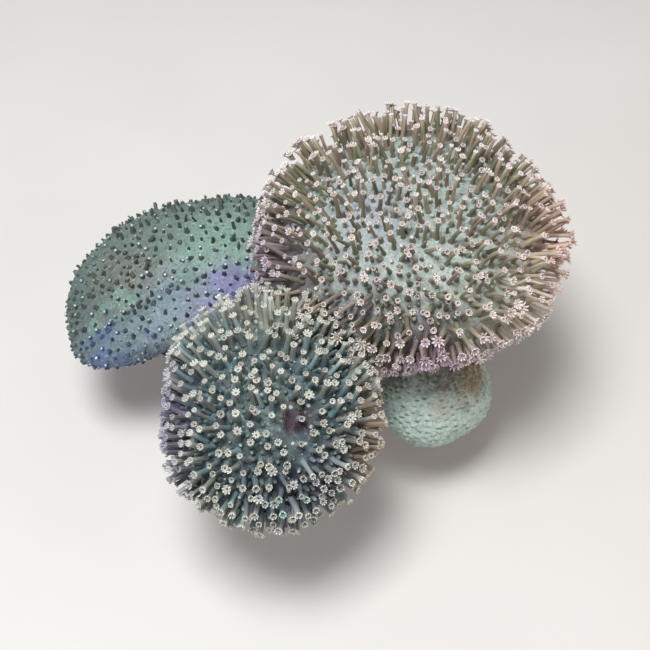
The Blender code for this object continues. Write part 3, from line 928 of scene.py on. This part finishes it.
def tube_flesh(name, foot, body, other_body, tip, mouth, partition_stripe_and_sheen, spots):
    """Thin watery tissue, wet and soft, over eight pale partitions and a painted highlight: dark foot, pale
    crown.
    """
    material, tree, shader = start_material(name)
    place = add_node(tree, "ShaderNodeTexCoord").outputs["Object"]
    mapped = add_node(tree, "ShaderNodeAttribute", {"attribute_name": "round_and_along"}).outputs["Vector"]
    parts = add_node(tree, "ShaderNodeSeparateXYZ", in0=mapped)
    tone = add_node(tree, "ShaderNodeAttribute", {"attribute_name": "tone"}).outputs["Fac"]
    kind = add_node(tree, "ShaderNodeAttribute", {"attribute_name": "kind"}).outputs["Fac"]
    bodies = blended(tree, ramped(tree, kind, 0.45, 0.8), body, other_body)
    lower = blended(tree, ramped(tree, parts.outputs["Y"], 0.0, 0.25), foot, bodies)
    upper = blended(tree, ramped(tree, parts.outputs["Y"], 0.6, 1.0), lower, tip)
    colour = tinted(tree, place, upper, spots)
    turns = add_node(tree, "ShaderNodeMath", {"operation": "MULTIPLY"}, in0=parts.outputs["X"],
                     in1=2 * math.pi * PARTITIONS)
    wave = add_node(tree, "ShaderNodeMath", {"operation": "COSINE"}, in0=turns.outputs[0])
    # Eight pale stripes round the tube: the partitions showing through, and partly painted highlight along
    # the wet wall.
    striped = blended(tree, ramped(tree, wave.outputs[0], 0.1, 0.95, 0, 0.5), colour, partition_stripe_and_sheen)
    varied = toned(tree, striped, ramped(tree, tone, 0, 1, 0.62, 1.3))
    # Past the lip the tube's lid takes the dark mouth colour: painted shade in the open mouth, which is not
    # modelled as a hole.
    inside = add_node(tree, "ShaderNodeMath", {"operation": "GREATER_THAN"}, in0=parts.outputs["Y"],
                      in1=INSIDE)
    whole = blended(tree, inside.outputs[0], varied, mouth)
    mottle = add_node(tree, "ShaderNodeTexNoise", Vector=place, Scale=1 / (0.7 * MM), Detail=2)
    height = add_node(tree, "ShaderNodeMath", {"operation": "ADD"}, in0=wave.outputs[0],
                      in1=mottle.outputs["Fac"])
    bump = add_node(tree, "ShaderNodeBump", Strength=0.35, Distance=0.1 * MM, Height=height.outputs[0])
    tree.links.new(whole, shader.inputs["Base Color"])
    tree.links.new(bump.outputs[0], shader.inputs["Normal"])
    tree.links.new(ramped(tree, mottle.outputs["Fac"], 0.3, 0.7, 0.42, 0.26), shader.inputs["Roughness"])
    soft_flesh_surface(shader, weight=0.3, depth=0.8)
    return material


class Tips(NamedTuple):
    """The tips of a cap's tubes, where their crowns go, one row for each tube."""

    places: np.ndarray
    looks: np.ndarray
    asides: np.ndarray
    tones: np.ndarray
    widths: np.ndarray
    down: np.ndarray


def grow_tubes(branch, skin, feet, down, how, material):
    """The cap's open polyps as one mesh, clear of the other caps. It gives back their tips."""
    roots, starts, ends, length = polyp_axes(branch, skin, feet, down, how)
    clear = length > SHORTEST_TUBE * MM
    for share in TUBE_TESTED_AT:
        clear &= ~in_other_cap(branch, roots + ends * (length * share)[:, None], TUBE_CLEARANCE)
    roots, starts, ends, length, down = (array[clear] for array in (roots, starts, ends, length, down))
    rng = np.random.default_rng(branch.seed + 2)
    tone, kind = rng.uniform(0, 1, (2, len(roots)))
    width = how.width * MM * rng.uniform(0.82, 1.15, len(roots))
    rings, places, looks, asides = tube_rings(roots, starts, ends, length, width, TUBE_PROFILE, TUBE_SIDES)
    piece = many_tubes(f"{branch.name}_polyps", rings, TUBE_PROFILE, {"tone": tone, "kind": kind})
    dress(piece, material)
    return Tips(places, looks, asides, tone, width, down)


LARGE_STANDING = Standing(
    length=(10.0, 14.0),
    by_share=((0, 0.72), (0.5, 0.95), (0.85, 1.0), (1.15, 0.85), (1.6, 0.55)),
    width=1.62,
    splay=0.35,
    lift=0.25,
    bend=0.24,
    short=(0.36, 0.4, 0.75),
    combed=(((58, -22, 104), 20, (0.7, 0, 0)), ((32, 64, 96), 26, (0, -0.3, 0))),
    trimmed=(((-3, 56, 92), 8, 0.35), ((38, -52, 86), 30, 0.8), ((34, 60, 96), 24, 0.88),
             ((76, 36, 98), 28, 0.74), ((62, -42, 86), 14, 0.75), ((90, 17, 96), 10, 0.5)),
)
FRONT_STANDING = Standing(
    length=(7.5, 10.5),
    by_share=((0, 0.9), (0.6, 1.0), (1.0, 0.92), (1.6, 0.6)),
    width=2.0,
    splay=0.26,
    lift=0.3,
    bend=0.24,
    short=(0.2, 0.55, 0.7),
    combed=(((-24, -66, 92), 40, (0, 0.2, 0.35)),),
    trimmed=(((-60, -66, 70), 17, 0.7), ((-48, -96, 62), 16, 0.74), ((0, -98, 64), 16, 0.74),
             ((-14, -82, 87), 6, 0.0)),
)
LARGE_TUBE_TINTS_AND_SHADE = (
    ((100, -4, 92), 50, "#bf9b8d", 0.8),
    ((34, 78, 100), 40, "#7c6059", 0.8),
    ((-18, 48, 98), 28, "#6e6059", 0.7),
    ((72, -32, 95), 30, "#d2c8b8", 0.75),
    ((6, -34, 92), 20, "#918c92", 0.6),
    # Mauve tubes at the low front rim and the low left: their own mauve, partly painted violet shade.
    ((38, -62, 82), 31, "#8a7288", 0.85),
    ((-30, -10, 84), 36, "#807084", 0.8),
)
FRONT_TUBE_TINTS_AND_SHADE = (
    # Purple tubes at the left: their own purple, partly painted violet shade.
    ((-68, -68, 66), 38, "#5c5074", 0.9),
    ((18, -76, 68), 28, "#a88472", 0.65),
    # Blue-grey tubes along the front edge: painted shade in blue light.
    ((-8, -104, 72), 32, "#737888", 0.65),
    ((-22, -34, 84), 30, "#bbb9a6", 0.7),
    # Dark maroon tubes round the hollow: maroon flesh with painted shade of the hole.
    ((-14, -81, 87), 6.5, "#4a1c30", 0.9),
)

large_tips = grow_tubes(
    LARGE, large_skin, large_feet, large_down, LARGE_STANDING,
    tube_flesh("olive_polyp_wall", foot="#777866", body="#777b60", other_body="#937d70", tip="#b3a597",
               mouth="#3a2629", partition_stripe_and_sheen="#bbb096", spots=LARGE_TUBE_TINTS_AND_SHADE))
front_tips = grow_tubes(
    FRONT, front_skin, front_feet, front_down, FRONT_STANDING,
    tube_flesh("green_grey_polyp_wall", foot="#536b74", body="#777b78", other_body="#6b8d95", tip="#aaaba5",
               mouth="#42282f", partition_stripe_and_sheen="#aaac9c", spots=FRONT_TUBE_TINTS_AND_SHADE))


# The crowns
# Every open polyp ends in eight short tentacles round its mouth, each fringed on both sides like a feather.
# Most rise and fold over into a small ring; on the largest cap's rim they spread out flat, pink to lavender.
# Their lavender at the large cap's low rims is partly painted violet shade.

TENTACLES = 8
TENTACLE_STATIONS = 5
CROWN_SUNK = 0.25
FRINGE = (0.86, 1.18)
TENTACLE_TAPER = 0.6
TENTACLE_THICK = 0.30
TENTACLE_THINNED = 0.4
RIM_FROM = 0.78


class Bloom(NamedTuple):
    """How a crown opens: its tentacles' root, length and width, and their tilt and curl in degrees."""

    root: float
    length: float
    width: float
    tilt: float
    curl: float


def crown_shape(bloom, rng):
    """One crown in its own frame, on a tube of radius 1: eight fringed tentacles round a mouth."""
    points, faces, along = [], [], []
    for number in range(TENTACLES):
        heading = 2 * math.pi * (number + rng.uniform(-0.1, 0.1)) / TENTACLES
        tilt = math.radians(bloom.tilt + rng.uniform(-10, 10))
        outward = np.array((math.cos(heading), math.sin(heading), 0))
        aside = np.array((-math.sin(heading), math.cos(heading), 0))
        place = outward * bloom.root - np.array((0, 0, CROWN_SUNK))
        step = bloom.length * rng.uniform(0.85, 1.12) / (TENTACLE_STATIONS - 1)
        first = len(points)
        for station in range(TENTACLE_STATIONS):
            share = station / (TENTACLE_STATIONS - 1)
            way = outward * math.cos(tilt) + np.array((0, 0, math.sin(tilt)))
            over = np.cross(aside, way)
            half = aside * (bloom.width / 2 * FRINGE[station % 2] * (1 - TENTACLE_TAPER * share**2))
            thick = over * (bloom.width * TENTACLE_THICK * (1 - TENTACLE_THINNED * share))
            points += [place + half, place - thick * 0.5, place - half, place + thick]
            along += [share] * 4
            place = place + way * step
            tilt += math.radians(bloom.curl) / (TENTACLE_STATIONS - 1)
        faces += ring_faces(TENTACLE_STATIONS, 4, first)
    return np.array(points), faces, np.array(along)


def grow_crowns(name, branch, tips, blooms, spread, material):
    """A crown on each of these tips, as one mesh: a few shapes, turned, and sized by their tubes' widths."""
    rng = random.Random(branch.seed + 3)
    shapes = [crown_shape(bloom, rng) for bloom in blooms for _ in range(3)]
    points, faces, along, tones = [], [], [], []
    first = 0
    for place, look, aside, tone, wide, _ in zip(*tips):
        shape, own_faces, own_along = shapes[rng.randrange(len(shapes))]
        spin = Quaternion(UP, rng.uniform(0, math.tau / TENTACLES)).to_matrix()
        basis = np.stack((aside, np.cross(look, aside), look), 1) @ np.array(spin)
        size = wide * spread * rng.uniform(0.95, 1.15)
        points.append(shape * size @ basis.T + place)
        faces += [tuple(corner + first for corner in face) for face in own_faces]
        along.append(own_along)
        tones.append(np.full(len(shape), tone))
        first += len(shape)
    piece = make_piece(name, np.vstack(points), faces)
    keep_values(piece, "along", np.concatenate(along))
    keep_values(piece, "tone", np.concatenate(tones))
    dress(piece, material)


def tentacle_flesh(name, root, tip, spots):
    """The palest tissue of the colony, thin and with few algae: moist, and off-white with a faint tint."""
    material, tree, shader = start_material(name)
    place = add_node(tree, "ShaderNodeTexCoord").outputs["Object"]
    along = add_node(tree, "ShaderNodeAttribute", {"attribute_name": "along"}).outputs["Fac"]
    tone = add_node(tree, "ShaderNodeAttribute", {"attribute_name": "tone"}).outputs["Fac"]
    colour = tinted(tree, place, blended(tree, along, root, tip), spots)
    varied = toned(tree, colour, ramped(tree, tone, 0, 1, 0.82, 1.12))
    mottle = add_node(tree, "ShaderNodeTexNoise", Vector=place, Scale=1 / (0.5 * MM), Detail=2)
    tree.links.new(varied, shader.inputs["Base Color"])
    tree.links.new(ramped(tree, mottle.outputs["Fac"], 0.3, 0.7, 0.5, 0.32), shader.inputs["Roughness"])
    soft_flesh_surface(shader, weight=0.35, depth=0.5)
    return material


LARGE_CROWN_TINTS_AND_SHADE = (
    ((104, -4, 92), 52, "#cfa19a", 0.6),
    # Lavender crowns at the low front rim and the low left: their own tint, partly painted violet shade.
    ((38, -64, 84), 34, "#c9b0c9", 0.65),
    ((-30, -10, 84), 40, "#b8acc4", 0.6),
)
FRONT_CROWN_TINTS_SHADE_AND_GLINTS = (
    # Lavender crowns at the left: their own tint, partly painted violet shade.
    ((-72, -70, 62), 44, "#8983aa", 0.8),
    ((22, -78, 66), 28, "#d9c2b2", 0.5),
    # Pale cyan on a few crowns at the front: painted glints.
    ((-14, -110, 82), 10, "#8fe3d4", 0.75),
)
RING = Bloom(0.72, 1.05, 0.98, 42, 100)
HALF_OPEN = Bloom(0.74, 1.0, 0.94, 32, 50)
STAR = Bloom(0.80, 1.35, 0.76, 32, -15)
MOSTLY_RINGS = (RING, RING, RING, HALF_OPEN)
WIDE_OPEN = (HALF_OPEN, HALF_OPEN, STAR)

large_tentacles = tentacle_flesh("pink_white_tentacles", "#d4c5c1", "#eee5e6", LARGE_CROWN_TINTS_AND_SHADE)
at_rim = large_tips.down > RIM_FROM
inner_tips = Tips(*(values[~at_rim] for values in large_tips))
outer_tips = Tips(*(values[at_rim] for values in large_tips))
grow_crowns("large_branch_inner_crowns", LARGE, inner_tips, MOSTLY_RINGS, 0.53, large_tentacles)
grow_crowns("large_branch_outer_crowns", LARGE, outer_tips, WIDE_OPEN, 0.65, large_tentacles)
grow_crowns("front_branch_crowns", FRONT, front_tips, MOSTLY_RINGS, 0.5,
            tentacle_flesh("cream_tentacles", "#b6b7aa", "#d6d7cd", FRONT_CROWN_TINTS_SHADE_AND_GLINTS))


# The closed polyps
# On the left cap the polyps have drawn back to short dark knobs, and some still show their pale tentacles.
# On the two open caps small closed ones, here called buds, stand between the open polyps.

SHORTEST_KNOB = 0.35
KNOB_CLEARANCE = 1.0
KNOB_CRUMPLED = 0.4
BUD_TRIES = 6000
KNOB_SIDES = 8
KNOB_PROFILE = (
    (0.00, 1.55), (0.18, 1.18), (0.62, 1.00), (0.85, 0.82), (0.96, 0.52), (1.00, 0.24),
)
LEFT_KNOB_TINTS_AND_SHADE = (
    # Blue and violet knobs over the lower band and by the large cap: painted shade in blue light.
    ((-62, -20, 58), 28, "#515c82", 0.6),
    ((-32, -2, 68), 28, "#54477a", 0.75),
    ((-88, -24, 52), 26, "#3d4b86", 0.75),
    # Brown knobs behind the crease: their own colour.
    ((-84, 2, 70), 24, "#5e564a", 0.6),
)


def knob_flesh(name, foot, body, tip, spots):
    """Tissue drawn tight over the hidden polyp: dark and dull, pale on top where the tentacles still show."""
    material, tree, shader = start_material(name)
    place = add_node(tree, "ShaderNodeTexCoord").outputs["Object"]
    mapped = add_node(tree, "ShaderNodeAttribute", {"attribute_name": "round_and_along"}).outputs["Vector"]
    parts = add_node(tree, "ShaderNodeSeparateXYZ", in0=mapped)
    tone = add_node(tree, "ShaderNodeAttribute", {"attribute_name": "tone"}).outputs["Fac"]
    lower = blended(tree, ramped(tree, parts.outputs["Y"], 0.0, 0.22), foot, body)
    tinted_body = tinted(tree, place, lower, spots)
    crest = ramped(tree, parts.outputs["Y"], 0.84, 0.97)
    showing = ramped(tree, tone, 0.45, 0.75, 0.1, 0.9)
    much = add_node(tree, "ShaderNodeMath", {"operation": "MULTIPLY"}, in0=crest, in1=showing)
    knobs = blended(tree, much.outputs[0], tinted_body, tip)
    varied = toned(tree, knobs, ramped(tree, tone, 0, 1, 0.65, 1.2))
    mottle = add_node(tree, "ShaderNodeTexNoise", Vector=place, Scale=1 / (0.6 * MM), Detail=3)
    bump = add_node(tree, "ShaderNodeBump", Strength=0.5, Distance=0.2 * MM, Height=mottle.outputs["Fac"])
    tree.links.new(varied, shader.inputs["Base Color"])
    tree.links.new(bump.outputs[0], shader.inputs["Normal"])
    tree.links.new(ramped(tree, mottle.outputs["Fac"], 0.3, 0.7, 0.7, 0.45), shader.inputs["Roughness"])
    soft_flesh_surface(shader)
    return material


def grow_knobs(name, branch, skin, feet, down, how, material, slot):
    """The knobs as one mesh, each a little crumpled, and clear of the other caps."""
    roots, starts, ends, length = polyp_axes(branch, skin, feet, down, how)
    clear = length > SHORTEST_KNOB * MM
    clear &= ~in_other_cap(branch, roots + ends * length[:, None], KNOB_CLEARANCE)
    roots, starts, ends, length = (array[clear] for array in (roots, starts, ends, length))
    rng = np.random.default_rng(branch.seed + 4)
    width = how.width * MM * rng.uniform(0.6, 1.3, len(roots))
    rings, _, _, _ = tube_rings(roots, starts, ends, length, width, KNOB_PROFILE, KNOB_SIDES)
    piece = many_tubes(name, rings, KNOB_PROFILE, {"tone": rng.uniform(0, 1, len(roots))})
    points, normals = points_of(piece)
    move_points(piece, points + normals * (KNOB_CRUMPLED * crinkle(points, 1.3) * MM)[:, None])
    dress(piece, material)


def gaps_between(branch, feet, lowest, from_feet, apart):
    """Places for small polyps between the open ones, this far from them and from each other."""
    rng = np.random.default_rng(branch.seed + 5)
    share = np.sqrt(rng.uniform(0, lowest**2, BUD_TRIES))
    places = cap_points(branch, share, rng.uniform(-math.pi, math.pi, BUD_TRIES))
    free = np.linalg.norm(nearest_feet(places, feet), axis=1) > from_feet
    places, share = places[free], share[free]
    kept = spaced(places, np.full(len(places), apart * MM))
    return places[kept], share[kept]


LEFT_KNOBS = Standing(
    length=(1.5, 3.4),
    by_share=((0, 1.1), (0.6, 1.0), (0.85, 0.65), (1.0, 0.4)),
    width=1.45,
    splay=0.1,
    lift=0.5,
    bend=0.75,
    short=(0.25, 0.6, 2.0),
    combed=(),
    trimmed=(((-38, 26, 74), 13, 1.9), ((-74, 36, 64), 16, 1.7)),
)
BUDS = Standing(
    length=(2.0, 5.0),
    by_share=((0, 1.0), (1.0, 1.1)),
    width=1.6,
    splay=0.2,
    lift=0.4,
    bend=0.4,
    short=(0.3, 0.6, 2.0),
    combed=(),
    trimmed=(((-14, -80, 87), 12, 0.0),),
)

grow_knobs("left_branch_polyps", LEFT, left_skin, left_feet, left_down, LEFT_KNOBS,
           knob_flesh("dark_knob_flesh", foot="#6c7b76", body="#4c5852", tip="#c2cec9",
                      spots=LEFT_KNOB_TINTS_AND_SHADE),
           "left_cap_flesh")
front_gaps = gaps_between(FRONT, front_feet, lowest=0.95, from_feet=1.6, apart=2.4)
grow_knobs("front_branch_buds", FRONT, front_skin, *front_gaps, BUDS,
           knob_flesh("teal_grey_bud_flesh", foot="#56666a", body="#687a78", tip="#a9b3ae",
                      spots=FRONT_TUBE_TINTS_AND_SHADE),
           "front_cap_flesh")
large_gaps = gaps_between(LARGE, large_feet, lowest=0.75, from_feet=1.9, apart=3.4)
grow_knobs("large_branch_buds", LARGE, large_skin, *large_gaps, BUDS,
           knob_flesh("grey_mint_bud_flesh", foot="#8b9288", body="#8b8878", tip="#d6d2d6",
                      spots=LARGE_TUBE_TINTS_AND_SHADE),
           "large_cap_flesh")


# The table, the light and the camera
# A plain pale board to stand on, matt and faintly speckled, under three large soft studio lights.
# The camera looks down at the colony from the front, as the photograph does.

VIEW_ELEVATION = 52
VIEW_DISTANCE = 0.5
VIEW_LENS = 70
VIEW_TARGET = Vector((-3, -21, 70)) * MM
BOARD_HALF = 3.0
BOARD_SPECKLES = 90

corners = np.array(((-1, -1, 0), (1, -1, 0), (1, 1, 0), (-1, 1, 0))) * BOARD_HALF
table_top = make_piece("table_top", corners, [(0, 1, 2, 3)])
pale_board, tree, shader = start_material("matt_pale_board")
speckle = add_node(tree, "ShaderNodeTexNoise", Scale=BOARD_SPECKLES, Detail=4)
board = add_node(tree, "ShaderNodeMix", {"data_type": "RGBA"}, in0=speckle.outputs["Fac"],
                 in6=linear("#cfcdc9"), in7=linear("#d6d4d0"))
tree.links.new(board.outputs[2], shader.inputs["Base Color"])
shader.inputs["Roughness"].default_value = 0.85
table_top.data.materials.append(pale_board)


def add_light(name, place, size, power, colour):
    """A square soft light that looks at the coral."""
    data = bpy.data.lights.new(name, "AREA")
    data.shape = "SQUARE"
    data.size = size
    data.energy = power
    data.color = linear(colour)[:3]
    lamp = bpy.data.objects.new(name, data)
    lamp.location = place
    lamp.rotation_euler = (VIEW_TARGET - Vector(place)).to_track_quat("-Z", "Y").to_euler()
    bpy.context.scene.collection.objects.link(lamp)


add_light("overhead", place=(-0.16, -0.18, 1.0), size=0.36, power=10.5, colour="#ffffff")
add_light("fill_left", place=(-0.9, -0.5, 0.5), size=0.6, power=3.0, colour="#dfe6ff")
add_light("fill_right", place=(0.9, -0.3, 0.45), size=0.6, power=2.2, colour="#fff0e2")
world = bpy.data.worlds.new("studio")
world.use_nodes = True
background = world.node_tree.nodes["Background"]
background.inputs["Color"].default_value = linear("#e8e8ea")
background.inputs["Strength"].default_value = 0.35
bpy.context.scene.world = world
bpy.context.scene.view_settings.view_transform = "Standard"

camera = bpy.data.objects.new("camera", bpy.data.cameras.new("camera"))
back = Vector((0, -math.cos(math.radians(VIEW_ELEVATION)), math.sin(math.radians(VIEW_ELEVATION))))
camera.location = VIEW_TARGET + back * VIEW_DISTANCE
camera.rotation_euler = (-back).to_track_quat("-Z", "Y").to_euler()
camera.data.lens = VIEW_LENS
camera.data.clip_start = 0.01
bpy.context.scene.collection.objects.link(camera)
bpy.context.scene.camera = camera
